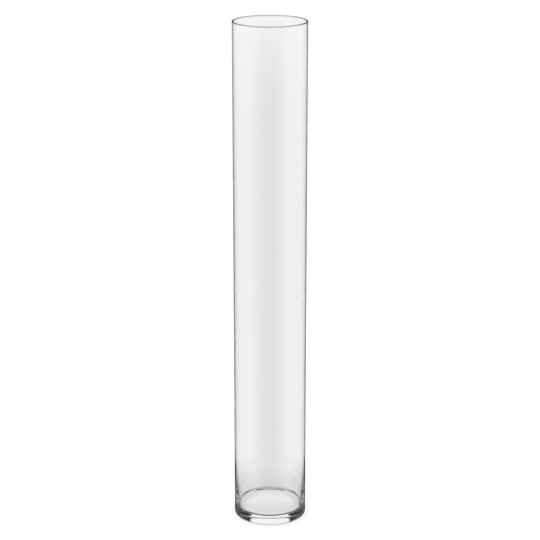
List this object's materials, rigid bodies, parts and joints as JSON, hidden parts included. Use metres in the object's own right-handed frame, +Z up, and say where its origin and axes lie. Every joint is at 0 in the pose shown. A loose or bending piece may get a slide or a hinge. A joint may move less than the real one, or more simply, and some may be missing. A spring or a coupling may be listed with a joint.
{
  "type": "glass cylinder vase",
  "caption": "Tall, narrow, clear glass cylinder vase with an open fire-polished lip, straight bore and thick rounded base.",
  "frame": {"origin": "on the vase's axis, in the plane of the ring that it stands on", "axes": "+Z up along the axis, out of the mouth; X and Y are alike because the vase is round"},
  "size_m": [0.1016, 0.1016, 0.711],
  "materials": {
    "clear_glass": "clear, fire-polished"
  },
  "bodies": {
    "root": {"vase_body": "clear_glass"}
  },
  "joints": []
}
